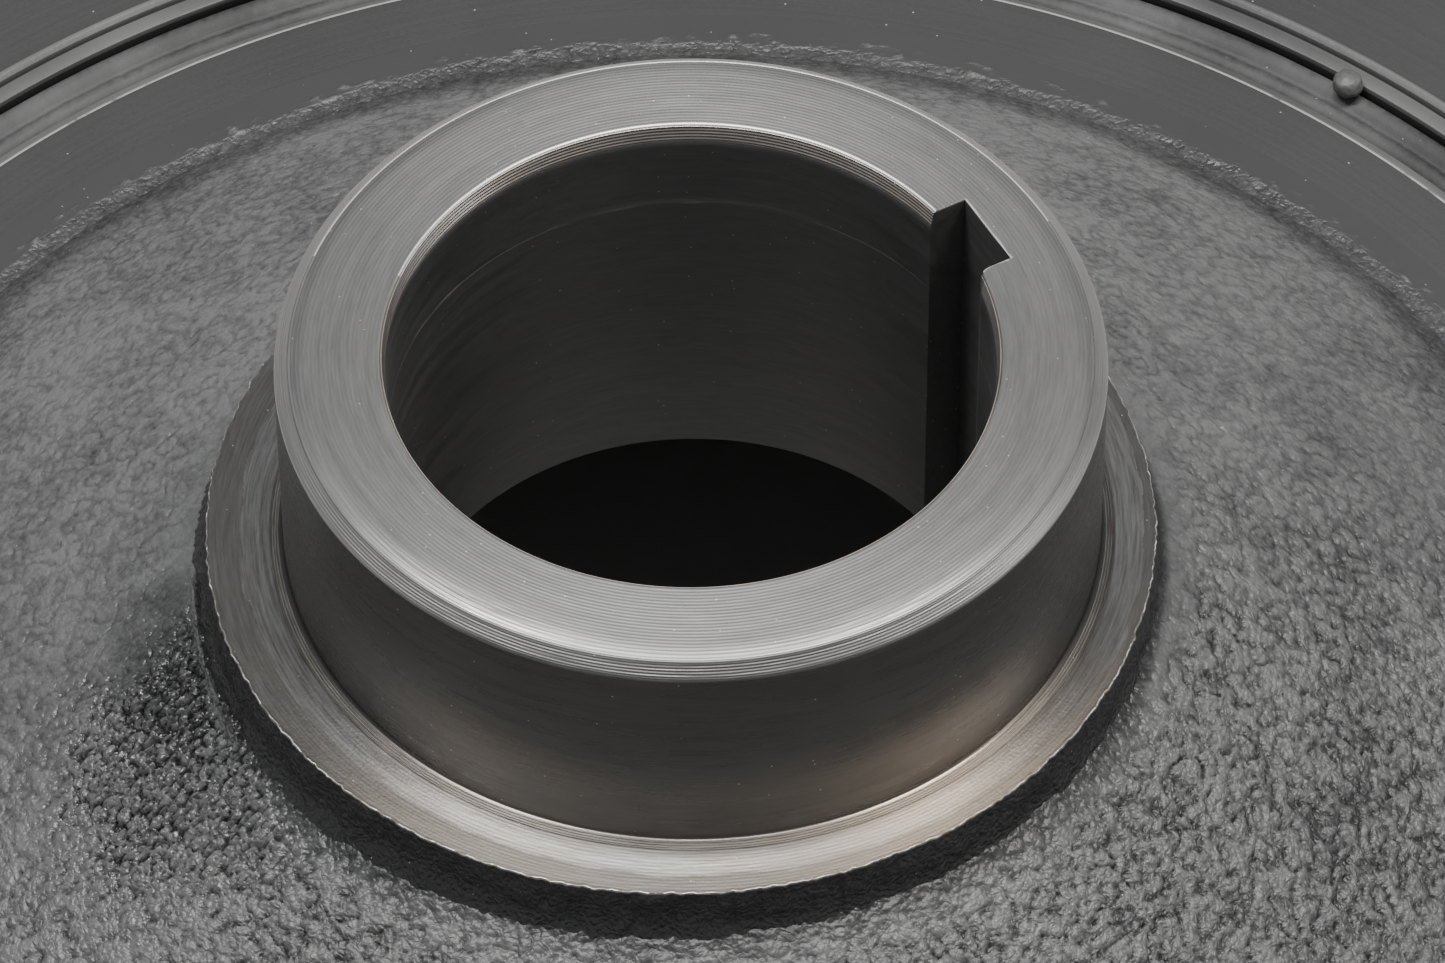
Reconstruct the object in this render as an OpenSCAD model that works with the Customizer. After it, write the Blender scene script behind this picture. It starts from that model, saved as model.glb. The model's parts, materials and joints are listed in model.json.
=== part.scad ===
// Crankshaft V-belt pulley with a bonded rubber torsional damper.
// It stands on its front rim. The engine side, with the oil-seal hub, points up (+Z).
// The origin is on the shaft axis, in the plane of the front rim face.

/* [Belt ring] */
// Outside diameter over the belt flanges
pulley_od = 168; // [165:0.5:180]
// Width of the belt ring along the shaft
ring_w = 35; // [35:0.5:42]
// Width of each V groove at the outside diameter
groove_w = 13; // [12:0.1:13.5]
// Depth of each V groove
groove_depth = 13; // [11:0.1:13]
// Included angle of each V groove in degrees
groove_angle = 36; // [34:0.5:38]
// Distance between the two grooves
groove_pitch = 16; // [15.5:0.1:17]

/* [Hub] */
// Diameter of the crankshaft bore
bore_d = 33; // [30:0.1:33.5]
// Length of the bore from the rear end of the hub to the bolt seat
bore_len = 26; // [24:0.5:28]
// Diameter of the oil-seal surface
seal_d = 45; // [44:0.1:46]
// Length from the rear end of the hub to the turned face of the boss
seal_len = 14.1; // [12:0.1:15]
// Distance from the rear face of the belt ring to the rear end of the hub
hub_reach = 32.5; // [31:0.1:36]
// Width of the keyway
key_w = 5; // [4:0.1:6]
// Depth of the keyway below the bore surface
key_depth = 1.95; // [1.5:0.05:2.3]

/* [Cast web] */
// Diameter of the cast boss around the hub
boss_d = 52.3; // [50:0.1:54]
// Sideways shift of the cast boss against the turned bore
boss_shift = 0.62; // [0:0.01:0.8]
// Direction of that shift, in degrees from +X
boss_shift_dir = 241; // [0:1:359]
// Slope of the conical web in degrees
web_slope = 30; // [27:0.5:31]
// Thickness of the web
web_t = 8; // [6:0.5:9]
// Radius where the web runs into the faced rear band
web_end_r = 53.2; // [52:0.1:54]
// Outside diameter of the hub casting, where the damper is pressed on
rim_od = 121.8; // [121:0.1:123]

/* [Damper cartridge] */
// Wall of the inner steel sleeve
inner_wall = 1.0; // [0.8:0.1:1.2]
// Thickness of the rubber between the sleeves
rubber_t = 2.9; // [2.5:0.1:3.2]
// Wall of the outer steel sleeve
outer_wall = 1.1; // [0.9:0.1:1.3]

/* [Hidden] */
$fn = 96;

// Heights along the shaft
hub_top = ring_w + hub_reach;
boss_z = hub_top - seal_len;
seat_z = hub_top - bore_len;
rim_front_z = 1.5;
cartridge_front_z = 3;

// Radii
bore_r = bore_d / 2;
seal_r = seal_d / 2;
boss_r = boss_d / 2;
rim_r = rim_od / 2;
inner_sleeve_r = rim_r + inner_wall;
rubber_r = inner_sleeve_r + rubber_t;
outer_sleeve_r = rubber_r + outer_wall;
ring_r = pulley_od / 2;
bowl_r = 55.2;

// Hub details: lead-in at the bore mouth, outer chamfer, root radius at the boss face
lead_w = 0.25;
lead_len = 1.1;
nose_w = 0.8;
nose_len = 0.65;
root_r = 0.6;

// Front boss with its washer recess
front_boss_r = 26;
front_boss_h = 3;
washer_r = 20;
boss_draft = 1.2;
boss_root_z = boss_z - 6;

// Small edges and fillets
rim_edge = 0.3;
ring_edge = 0.7;
land_edge = 0.5;
bowl_fillet = 5;
boss_fillet = 1.5;
bowl_draft = 0.8;

// Ends of the cartridge below the rear face of the ring
inner_sleeve_drop = 0.9;
rubber_drop = 1.15;
outer_sleeve_drop = 0.2;
bead_h = 0.3;
bond_gap = 0.05;

// Moulding nub on the rear end of the rubber
nub_r = 1.3;
nub_axis_r = 63.9;
nub_dir = 113;

// Timing notch in the rear flange
notch_dir = 35;
notch_size = 2;

// Points of an arc about c from angle a0 to a1
function arc(c, r, a0, a1, n = 6) =
    [for (i = [0:n]) c + r * [cos(a0 + (a1 - a0) * i / n), sin(a0 + (a1 - a0) * i / n)]];

// Height of the rear and of the front surface of the web at radius r
function web_rear(r) = ring_w + (web_end_r - r) * tan(web_slope);
function web_front(r) = web_rear(r) - web_t / cos(web_slope);

// Fillet between the bowl wall at radius r and the front of the web
function bowl_corner(r, f) =
    arc([r - f, web_front(r) - f * tan((90 - web_slope) / 2)], f, 0, 90 - web_slope);

// Fillet between the front of the web and the side of the front boss
function boss_corner(r, f) =
    arc([r + f, web_front(r) - f * tan((90 + web_slope) / 2)], f, 90 - web_slope, 180);

// Half section of one V groove centred at height z, from front to rear
function groove(z) = let (
        top = groove_w / 2,
        slope = tan(groove_angle / 2),
        bottom = top - groove_depth * slope
    ) [
        [ring_r, z - top - land_edge],
        [ring_r - land_edge, z - top + land_edge * slope],
        [ring_r - groove_depth, z - bottom],
        [ring_r - groove_depth, z + bottom],
        [ring_r - land_edge, z + top - land_edge * slope],
        [ring_r, z + top + land_edge]
    ];

// Turned and cast half section of the hub, web and rim
module hub_section() {
    neck_r = seal_r + root_r;
    wall_r = bowl_r - bowl_draft;
    polygon(concat(
        [
            [bore_r, seat_z],
            [bore_r, hub_top - lead_len],
            [bore_r + lead_w, hub_top],
            [seal_r - nose_w, hub_top],
            [seal_r, hub_top - nose_len]
        ],
        arc([neck_r, boss_z + root_r], root_r, 180, 270),
        [
            [neck_r + 1, boss_z],
            [neck_r + 1, web_rear(neck_r + 1)],
            [web_end_r, ring_w],
            [rim_r - rim_edge, ring_w],
            [rim_r, ring_w - rim_edge],
            [rim_r, rim_front_z + rim_edge],
            [rim_r - rim_edge, rim_front_z],
            [bowl_r + rim_edge, rim_front_z],
            [bowl_r, rim_front_z + rim_edge]
        ],
        bowl_corner(wall_r, bowl_fillet),
        boss_corner(front_boss_r, boss_fillet),
        [
            [front_boss_r, seat_z - front_boss_h + 1],
            [front_boss_r - 1, seat_z - front_boss_h],
            [washer_r, seat_z - front_boss_h],
            [washer_r, seat_z]
        ]
    ));
}

// Cast boss on the rear of the web, a little off the turned axis
module rear_boss() {
    shift = boss_shift * [cos(boss_shift_dir), sin(boss_shift_dir), 0];
    translate(shift + [0, 0, boss_root_z])
        difference() {
            cylinder(r1 = boss_r + boss_draft, r2 = boss_r, h = boss_z - boss_root_z);
            translate([0, 0, -1])
                cylinder(r = seal_r - 2, h = boss_z - boss_root_z + 2);
        }
}

module hub_casting() {
    key_floor_r = bore_r + key_depth;
    color([0.40, 0.40, 0.39])
        difference() {
            union() {
                rotate_extrude() hub_section();
                rear_boss();
            }
            translate([-key_w / 2, 0, seat_z - 1])
                cube([key_w, key_floor_r, bore_len + 2]);
        }
}

module inner_sleeve() {
    color([0.32, 0.32, 0.31])
        rotate_extrude()
            translate([rim_r, cartridge_front_z])
                square([inner_wall, ring_w - inner_sleeve_drop - cartridge_front_z]);
}

// Half section of the rubber, with a moulded bead at each end beside the inner sleeve
module rubber_section() {
    skin_r = rubber_r - bond_gap;
    rear_z = ring_w - rubber_drop;
    front_z = cartridge_front_z + rubber_drop;
    bead_r = inner_sleeve_r + 0.7;
    polygon([
        [inner_sleeve_r, front_z],
        [bead_r, front_z - bead_h],
        [bead_r + 0.7, front_z],
        [skin_r, front_z],
        [skin_r, rear_z],
        [bead_r + 0.7, rear_z],
        [bead_r, rear_z + bead_h],
        [inner_sleeve_r, rear_z]
    ]);
}

// Nub left by the mould, kept clear of the outer sleeve
module nub() {
    difference() {
        rotate([0, 0, nub_dir])
            translate([nub_axis_r, 0, ring_w - bead_h])
                sphere(r = nub_r);
        difference() {
            cylinder(r = outer_sleeve_r + 2, h = ring_w - outer_sleeve_drop + bond_gap);
            translate([0, 0, -1])
                cylinder(r = rubber_r - bond_gap, h = ring_w + 2);
        }
    }
}

module damper_rubber() {
    color([0.16, 0.16, 0.16])
        union() {
            rotate_extrude() rubber_section();
            nub();
        }
}

module outer_sleeve() {
    color([0.45, 0.45, 0.44])
        rotate_extrude()
            translate([rubber_r, cartridge_front_z])
                square([outer_wall, ring_w - outer_sleeve_drop - cartridge_front_z]);
}

module ring_section() {
    middle = ring_w / 2;
    polygon(concat(
        [
            [outer_sleeve_r, ring_edge],
            [outer_sleeve_r + ring_edge, 0],
            [ring_r - land_edge, 0],
            [ring_r, land_edge]
        ],
        groove(middle - groove_pitch / 2),
        groove(middle + groove_pitch / 2),
        [
            [ring_r, ring_w - land_edge],
            [ring_r - land_edge, ring_w],
            [outer_sleeve_r + ring_edge, ring_w],
            [outer_sleeve_r, ring_w - ring_edge]
        ]
    ));
}

module pulley_ring() {
    color([0.36, 0.36, 0.36])
        difference() {
            rotate_extrude() ring_section();
            rotate([0, 0, notch_dir])
                translate([ring_r, 0, ring_w])
                    rotate([0, 0, 45])
                        cube([notch_size, notch_size, 2 * notch_size], center = true);
        }
}

hub_casting();
inner_sleeve();
damper_rubber();
outer_sleeve();
pulley_ring();
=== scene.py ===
"""Looks of the crankshaft V-belt pulley: turned hub, cast web, rubber damper and belt ring."""
import json
import math

import bpy
import numpy as np
from mathutils import Matrix, Vector

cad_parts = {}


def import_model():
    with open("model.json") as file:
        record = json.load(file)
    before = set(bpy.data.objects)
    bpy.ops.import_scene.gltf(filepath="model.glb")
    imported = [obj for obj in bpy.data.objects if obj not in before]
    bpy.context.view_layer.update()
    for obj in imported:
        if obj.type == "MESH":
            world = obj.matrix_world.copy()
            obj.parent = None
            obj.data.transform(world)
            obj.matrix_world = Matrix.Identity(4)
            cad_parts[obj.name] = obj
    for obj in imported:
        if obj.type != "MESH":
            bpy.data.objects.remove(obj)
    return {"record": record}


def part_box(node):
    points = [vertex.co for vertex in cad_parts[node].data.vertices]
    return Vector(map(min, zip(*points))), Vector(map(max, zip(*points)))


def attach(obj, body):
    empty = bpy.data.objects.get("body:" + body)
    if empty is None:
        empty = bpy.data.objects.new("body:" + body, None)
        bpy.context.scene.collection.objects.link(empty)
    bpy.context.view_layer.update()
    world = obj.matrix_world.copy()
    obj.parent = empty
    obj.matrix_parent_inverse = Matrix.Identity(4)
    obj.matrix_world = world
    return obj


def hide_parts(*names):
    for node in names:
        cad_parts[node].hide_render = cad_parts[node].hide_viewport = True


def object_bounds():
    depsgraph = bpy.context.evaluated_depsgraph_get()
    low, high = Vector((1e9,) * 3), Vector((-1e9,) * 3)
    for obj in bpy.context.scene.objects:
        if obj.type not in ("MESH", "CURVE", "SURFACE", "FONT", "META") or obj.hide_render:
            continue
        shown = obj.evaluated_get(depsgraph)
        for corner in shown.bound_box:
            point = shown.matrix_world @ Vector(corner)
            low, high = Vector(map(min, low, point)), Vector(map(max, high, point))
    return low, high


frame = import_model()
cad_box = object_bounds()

# ---- sizes, in millimetres
MM = 0.001
PER_M = 1000.0
TURN = 2 * math.pi


def top(node):
    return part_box(node)[1].z * PER_M


def bottom(node):
    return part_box(node)[0].z * PER_M


def outer_radius(node):
    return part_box(node)[1].x * PER_M


mounts = {m["name"]: m for m in frame["record"]["mounts"]}
BORE_R = mounts["crank_bore"]["dims"]["r_mm"]
SEAL_R = mounts["seal_surface"]["dims"]["r_mm"]
HUB_TOP = top("hub_casting")
HUB_FRONT = bottom("hub_casting")
SEAT_Z = mounts["bolt_seat"]["pos_m"][2] * PER_M
KEY_FLOOR = mounts["keyway"]["pos_m"][1] * PER_M
RIM_R = outer_radius("hub_casting")
RUBBER_R = outer_radius("damper_rubber")
SLEEVE_R = outer_radius("outer_sleeve")
INNER_SLEEVE_R = outer_radius("inner_sleeve")
RING_R = outer_radius("pulley_ring")
REAR_Z = top("pulley_ring")
FRONT_Z = bottom("pulley_ring")

KEY_HALF = 2.5
BOSS_Z = HUB_TOP - 14.1
BOSS_R = 26.15
BOSS_SHIFT = 0.62
WEB_END_R = 53.2
WEB_ANGLE = 30
WEB_SLOPE = math.tan(math.radians(WEB_ANGLE))
WEB_T = 8 / math.cos(math.radians(WEB_ANGLE))
BOND_GAP = 0.05

# Feed of the lathe tool, and the radius where the hub's mesh meets that of the boss
TOOL_PITCH = 0.22
SEAM_R = 23.26

# The side away from the engine: front boss, washer recess in it, bowl
FRONT_BOSS_R = 26
FRONT_BOSS_H = 3
FRONT_BOSS_FILLET = 1.5
WASHER_R = 20
BOWL_R = 55.2
BOWL_WALL_R = 54.4
BOWL_FILLET = 5.0

# Directions round the shaft, counted from the keyway, which is at +Y
KEY_AZ = math.radians(90)


def from_key(degrees):
    return KEY_AZ + math.radians(degrees)


# The camera's right
VIEW_TURN = from_key(-28.7)

# Where the cast boss is shifted to, its flash line and the nub of the rubber
BOSS_SHIFT_AZ = from_key(151)
FLASH_AZ = from_key(166)
NUB_AZ = from_key(23.3)

# Direction in which the glossy grains are long, round from the camera's right
GRAIN_AZ = math.radians(37)


def on_circle(r, theta, z=0.0):
    """Points at radius r, the angles theta and height z."""
    return np.stack([r * np.cos(theta), r * np.sin(theta), z + 0 * theta], 1)


# ---- noise
def gradient_noise(p, seed):
    """Smooth noise of about -1 to 1 at points p, with features one unit across."""
    rng = np.random.default_rng(seed)
    perm = rng.permutation(256)
    grads = rng.normal(size=(256, 3))
    grads /= np.linalg.norm(grads, axis=1)[:, None]
    cell = np.floor(p).astype(np.int64)
    f = p - cell
    u = f * f * f * (f * (f * 6 - 15) + 10)
    total = np.zeros(len(p))
    for corner in range(8):
        d = np.array([corner & 1, corner >> 1 & 1, corner >> 2 & 1])
        c = (cell + d) & 255
        g = grads[perm[(perm[(perm[c[:, 0]] + c[:, 1]) & 255] + c[:, 2]) & 255]]
        w = np.prod(np.where(d, u, 1 - u), axis=1)
        total += w * ((f - d) * g).sum(1)
    return total * 1.5


def fbm(p, size, octaves, seed):
    """Noise with features of the given size in mm and finer ones on top."""
    total, share = np.zeros(len(p)), 1.0
    for i in range(octaves):
        total += share * gradient_noise(p / size * 2**i + 17.3 * i, seed + i)
        share *= 0.5
    return total


def cells(p, size, seed):
    """Distances from p to the nearest and the next of points scattered one to a cell."""
    jitter = np.random.default_rng(seed).random((64, 64, 2))
    q = p[:, :2] / size
    cell = np.floor(q).astype(np.int64)
    near = np.full(len(p), 9.0)
    after = np.full(len(p), 9.0)
    for dx in (-1, 0, 1):
        for dy in (-1, 0, 1):
            c = cell + (dx, dy)
            spot = c + jitter[c[:, 0] & 63, c[:, 1] & 63]
            d = np.hypot(q[:, 0] - spot[:, 0], q[:, 1] - spot[:, 1])
            after = np.minimum(after, np.maximum(near, d))
            near = np.minimum(near, d)
    return near, after


def smooth_step(x, low, high):
    t = np.clip((x - low) / (high - low), 0, 1)
    return t * t * (3 - 2 * t)


def bell(x, centre, width):
    """A smooth hump, 1 at centre."""
    return np.exp(-(((x - centre) / width) ** 2))


def lumps(p, size, seed):
    """Flat lumps with sharp creases between them, 0 in the creases and 1 on top."""
    return np.minimum(np.abs(gradient_noise(p / size, seed)) * 3.0, 1.0)


def seen_at(p):
    """How far to the right and how far away points p are, as the camera sees them."""
    c, s = math.cos(VIEW_TURN), math.sin(VIEW_TURN)
    return p[:, 0] * c + p[:, 1] * s, p[:, 1] * c - p[:, 0] * s


def coarseness(p):
    """How rough the cast skin is at points p: most at the near right, least at the far left."""
    right, away = seen_at(p)
    return smooth_step(0.4 * right - 1.7 * away + 8 * fbm(p, 12.0, 2, 51), -15, 34)


def oiliness(p):
    """1 in the oily patch at the near left of the boss, 0 elsewhere."""
    right, away = seen_at(p)
    spread = np.hypot((right + 27.8) / 8.5, (away + 11.5) / 10) + 0.25 * fbm(p, 4.0, 2, 52)
    return 1 - smooth_step(spread, 0.45, 1.25)


def soaked(p):
    """1 where the oily patch is darkest, beside the boss, 0 elsewhere."""
    right, away = seen_at(p)
    spread = np.hypot((right + 28) / 4.8, (away + 7) / 6.5) + 0.3 * fbm(p, 3.0, 2, 54)
    return 1 - smooth_step(spread, 0.4, 1.3)


def past_boss(p):
    """How far points p lie outside the cast boss, in mm."""
    across = BOSS_SHIFT * math.cos(BOSS_SHIFT_AZ)
    along = BOSS_SHIFT * math.sin(BOSS_SHIFT_AZ)
    return np.hypot(p[:, 0] - across, p[:, 1] - along) - BOSS_R


def flash_line(p):
    """A thin fin along the foot of the boss, where the mould halves met."""
    r = np.hypot(p[:, 0], p[:, 1])
    angle = np.arctan2(p[:, 1], p[:, 0])
    off = (angle - FLASH_AZ + math.pi) % TURN - math.pi
    path = 27.75 + 0.8 * off + 0.10 * fbm(p, 2.0, 2, 53)
    window = 1 - smooth_step(np.abs(off), math.radians(11), math.radians(15))
    return 0.55 * window * bell(r, path, 0.13)


def skin_amount(p):
    """How strongly the cast skin shows at points p, from about 0.15 to 1."""
    by_boss = 0.35 + 0.65 * smooth_step(past_boss(p), 0.8, 3.4)
    return np.maximum((0.42 + 0.58 * coarseness(p)) * by_boss, 0.95 * oiliness(p))


def stones(p, size, seed, crease):
    """Rounded grains of the given size in mm, 0.5 on top and lower between them."""
    near, after = cells(p, size, seed)
    return 0.5 - near * near - 0.5 * (1 - smooth_step(after - near, 0.0, crease))


def drawn_out(p):
    """Points p with one direction pressed together, so that grains in them come out long."""
    right, away = seen_at(p)
    c, s = math.cos(GRAIN_AZ), math.sin(GRAIN_AZ)
    return np.stack([(right * c + away * s) / 1.7, (away * c - right * s) * 1.15, p[:, 2]], 1)


def cast_skin(p):
    """Height of the sand-cast skin over its mean surface, in mm."""
    warp = np.stack([fbm(p, 1.1, 2, 5), fbm(p, 1.1, 2, 6), 0 * p[:, 0]], 1) * 0.24
    q = p + warp
    oily = oiliness(p)
    amount = skin_amount(p)
    swell = 0.05 * fbm(p, 8.0, 2, 21) + 0.05 * fbm(p, 2.4, 2, 31) * amount
    leather = 0.18 * (lumps(q, 1.1, 33) - 0.7) + 0.08 * (lumps(q, 0.55, 34) - 0.7)
    grains = 0.10 * stones(q * (1.0, 1.2, 1.0), 0.62, 11, 0.25) + 0.06 * stones(q + 3.1, 0.36, 12, 0.3)
    wet = 0.42 * stones(drawn_out(q), 0.44, 13, 0.3) + 0.06 * (lumps(q, 0.5, 35) - 0.7)
    return swell + amount * ((1 - oily) * (leather + grains) + oily * wet) + flash_line(p)


def tool_marks(r, height):
    """Scalloped turning marks of the given height, one to each feed of the tool."""
    t = r / TOOL_PITCH % 1.0
    return height * ((2 * t - 1) ** 2 - 0.4)


# ---- lathe surfaces
class Shell:
    """A closed surface made of rings of points, each joined to the next and the last to the first."""

    def __init__(self):
        self.rings, self.slots = [], []

    def ring(self, r, z, theta, slot):
        """One ring at radius r and height z, in mm, at the angles theta.
        slot is the material from there to the next ring: one number, or one for each point."""
        self.rings.append((on_circle(r, theta, z), theta))
        self.slots.append(slot)

    def path(self, points, theta, slot):
        for r, z in points:
            self.ring(r, z, theta, slot)

    def points(self):
        return np.concatenate([ring for ring, _ in self.rings])

    def faces(self):
        starts = np.cumsum([0] + [len(t) for _, t in self.rings])
        quads, triangles = [], []
        for k, (_, a) in enumerate(self.rings):
            j = (k + 1) % len(self.rings)
            b = self.rings[j][1]
            if len(a) == len(b):
                i = np.arange(len(a))
                n = (i + 1) % len(a)
                four = np.stack([starts[k] + i, starts[k] + n, starts[j] + n, starts[j] + i], 1)
                quads.append(np.c_[four, np.broadcast_to(self.slots[k], len(a))])
            else:
                triangles += zipped(a, b, starts[k], starts[j], self.slots[k])
        return np.concatenate(quads), triangles

    def build(self, name, materials, sharp):
        quads, triangles = self.faces()
        points = self.points()
        polys = [tuple(q[:4]) for q in quads.tolist()] + [t[:3] for t in triangles]
        slots = quads[:, 4].tolist() + [t[3] for t in triangles]
        return mesh_piece(name, points, polys, slots, materials, sharp)


def zipped(a, b, start_a, start_b, slot):
    """Triangles between two rings with different numbers of points at the angles a and b."""
    made, i, j = [], 0, 0
    while i < len(a) or j < len(b):
        next_a = a[i + 1] if i + 1 < len(a) else a[0] + TURN
        next_b = b[j + 1] if j + 1 < len(b) else b[0] + TURN
        p, q = start_a + i % len(a), start_b + j % len(b)
        if j >= len(b) or (i < len(a) and next_a <= next_b):
            made.append((p, start_a + (i + 1) % len(a), q, slot))
            i += 1
        else:
            made.append((p, start_b + (j + 1) % len(b), q, slot))
            j += 1
    return made


def inside_out(points, polys):
    """True if the order of the points in the faces turns them inwards."""
    total = 0.0
    for sides in (3, 4):
        corners = points[np.array([p for p in polys if len(p) == sides], dtype=int).reshape(-1, sides)]
        for k in range(1, sides - 1):
            total += (np.cross(corners[:, k], corners[:, k + 1]) * corners[:, 0]).sum()
    return total < 0


def put(name, data):
    """An object with that data, in the scene."""
    made = bpy.data.objects.new(name, data)
    bpy.context.scene.collection.objects.link(made)
    return made


def mesh_piece(name, points, polys, slots, materials, sharp):
    """A mesh object from points in mm. sharp is the angle in degrees above which an edge is hard."""
    if inside_out(points, polys):
        polys = [tuple(reversed(p)) for p in polys]
    mesh = bpy.data.meshes.new(name)
    mesh.from_pydata((points * MM).tolist(), [], polys)
    for material in materials:
        mesh.materials.append(material)
    mesh.polygons.foreach_set("material_index", slots)
    mesh.polygons.foreach_set("use_smooth", [True] * len(polys))
    if sharp is not None:
        mesh.set_sharp_from_angle(angle=math.radians(sharp))
    mesh.validate()
    return put(name, mesh)


def even(n):
    """n angles, evenly round the shaft."""
    return np.arange(n) * TURN / n


def arc(r, z, radius, a0, a1, n):
    """Points of an arc in the half section, from a0 to a1 degrees."""
    angles = np.radians(np.linspace(a0, a1, n))
    return [(r + radius * math.cos(a), z + radius * math.sin(a)) for a in angles]


def line(a, b, n):
    """n points from a up to, but without, b."""
    t = np.arange(n) / n
    return [(a[0] + (b[0] - a[0]) * k, a[1] + (b[1] - a[1]) * k) for k in t]


def store(piece, name, values):
    """Gives the points of a piece a named number each, which its material reads."""
    layer = piece.data.attributes.new(name, "FLOAT", "POINT")
    layer.data.foreach_set("value", values.astype(np.float32))


# ---- materials
def new_material(name):
    material = bpy.data.materials.new(name)
    material.use_nodes = True
    tree = material.node_tree
    return material, tree, tree.nodes["Principled BSDF"]


def add(tree, kind, inputs=None, **settings):
    """A node of that kind. inputs maps a socket to a value or to another node's output."""
    node = tree.nodes.new("ShaderNode" + kind)
    for key, value in settings.items():
        setattr(node, key, value)
    for key, value in (inputs or {}).items():
        if isinstance(value, bpy.types.NodeSocket):
            tree.links.new(value, node.inputs[key])
        else:
            node.inputs[key].default_value = value
    return node


def math_node(tree, operation, a, b):
    return add(tree, "Math", {0: a, 1: b}, operation=operation).outputs[0]


def times(tree, a, b):
    return math_node(tree, "MULTIPLY", a, b)


def rest_of(tree, a):
    """1 less a."""
    return math_node(tree, "SUBTRACT", 1.0, a)


def attribute(tree, name):
    return add(tree, "Attribute", attribute_name=name).outputs["Fac"]


def feed(tree, shader, socket, value):
    tree.links.new(value, shader.inputs[socket])


def place(tree):
    return add(tree, "TexCoord").outputs["Object"]


def noise(tree, scale, detail=3.0, vector=None, roughness=0.55):
    inputs = {"Scale": scale, "Detail": detail, "Roughness": roughness}
    inputs["Vector"] = vector or place(tree)
    return add(tree, "TexNoise", inputs).outputs["Fac"]


def rgba(colour):
    """A colour with its alpha, from a grey or from red, green and blue."""
    return ((colour,) * 3 if isinstance(colour, float) else colour) + (1.0,)


def ramp(tree, value, stops):
    """A colour ramp through (position, grey or colour) stops."""
    node = add(tree, "ValToRGB", {0: value})
    elements = node.color_ramp.elements
    while len(elements) < len(stops):
        elements.new(0.5)
    for element, (position, colour) in zip(elements, stops):
        element.position = position
        element.color = rgba(colour)
    return node.outputs["Color"]


def mix(tree, factor, a, b):
    """Colour a, blended into colour b by factor."""
    node = tree.nodes.new("ShaderNodeMix")
    node.data_type = "RGBA"
    for key, value in ((0, factor), (6, a), (7, b)):
        if isinstance(value, bpy.types.NodeSocket):
            tree.links.new(value, node.inputs[key])
        else:
            node.inputs[key].default_value = value if key == 0 else rgba(value)
    return node.outputs[2]


def polar(tree):
    """Distance from the shaft, angle round it and height."""
    split = add(tree, "SeparateXYZ", {0: place(tree)})
    x, y, z = split.outputs
    flat = add(tree, "CombineXYZ", {0: x, 1: y})
    r = add(tree, "VectorMath", {0: flat.outputs[0]}, operation="LENGTH").outputs["Value"]
    return r, math_node(tree, "ARCTAN2", y, x), z


def ring_space(tree, across, around):
    """Coordinates that run round the shaft: noise in them makes turning marks."""
    r, angle, z = polar(tree)
    parts = {0: times(tree, r, across), 1: times(tree, z, across), 2: times(tree, angle, around)}
    return add(tree, "CombineXYZ", parts).outputs[0]


def ring_phase(tree):
    """Distance from the nearest tool mark, from 0 to 0.5 of the feed."""
    turns = times(tree, polar(tree)[0], PER_M / TOOL_PITCH)
    return math_node(tree, "PINGPONG", turns, 0.5)


def specks(tree, scale, size):
    """1 in small scattered dots, 0 elsewhere."""
    dots = add(tree, "TexVoronoi", {"Vector": place(tree), "Scale": scale})
    near = math_node(tree, "LESS_THAN", dots.outputs["Distance"], size)
    chosen = add(tree, "SeparateColor", {0: dots.outputs["Color"]}).outputs[0]
    return times(tree, near, math_node(tree, "LESS_THAN", chosen, 0.3))


def bumped(tree, shader, height, distance, after=None):
    """Gives the shader a bump of the given height, on top of the bump after."""
    inputs = {"Height": height, "Distance": distance, "Strength": 1.0}
    if after is not None:
        inputs["Normal"] = after
    normal = add(tree, "Bump", inputs).outputs["Normal"]
    feed(tree, shader, "Normal", normal)
    return normal


def turned_metal(
    name, dark, light, rough, marks=0.0, warm=0.15, grain=0.35, stain=(0.30, 0.23, 0.15), pits=0.001
):
    """Turned cast iron: the tool's rings, fine streaks, faint stains, a little dust, and the painted warm
    highlight tint and the burrs and painted highlights that the points carry.
    """
    material, tree, shader = new_material(name)
    shader.inputs["Metallic"].default_value = 1.0
    shader.inputs["Anisotropic"].default_value = grain
    shader.inputs["Anisotropic Rotation"].default_value = 0.25
    around = add(tree, "Tangent", direction_type="RADIAL", axis="Z").outputs["Tangent"]
    feed(tree, shader, "Tangent", around)
    streaks = noise(tree, 1.0, 4.0, ring_space(tree, 6500.0, 9.0), 0.7)
    coarse = noise(tree, 1.0, 2.0, ring_space(tree, 1300.0, 2.0), 0.6)
    cloud = noise(tree, 160.0, 4.0)
    groove = ramp(tree, ring_phase(tree), [(0.0, 0.0), (0.30, 1.0)])
    rings = rest_of(tree, times(tree, rest_of(tree, groove), marks))
    lit = times(tree, rings, ramp(tree, streaks, [(0.25, dark / light), (0.75, 1.0)]))
    base = ramp(tree, lit, [(0.0, 0.0), (1.0, light)])
    stained = mix(tree, times(tree, cloud, warm), base, stain)
    # Painted warm highlight colour where the points ask for it
    warm_highlighted = mix(tree, attribute(tree, "tint"), stained, (0.62, 0.50, 0.38))
    # Near-white where the points carry a burr or a painted highlight
    burred_and_highlighted = mix(tree, attribute(tree, "glow"), warm_highlighted, (0.92, 0.90, 0.86))
    dusty = mix(tree, specks(tree, 1500.0, 0.07), burred_and_highlighted, (0.75, 0.74, 0.72))
    feed(tree, shader, "Base Color", dusty)
    low, high = rough
    feed(tree, shader, "Roughness", ramp(tree, coarse, [(0.3, low), (0.7, high)]))
    first = bumped(tree, shader, streaks, 0.004 * MM)
    bumped(tree, shader, noise(tree, 5200.0, 3.0), pits * MM, first)
    return material


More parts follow.
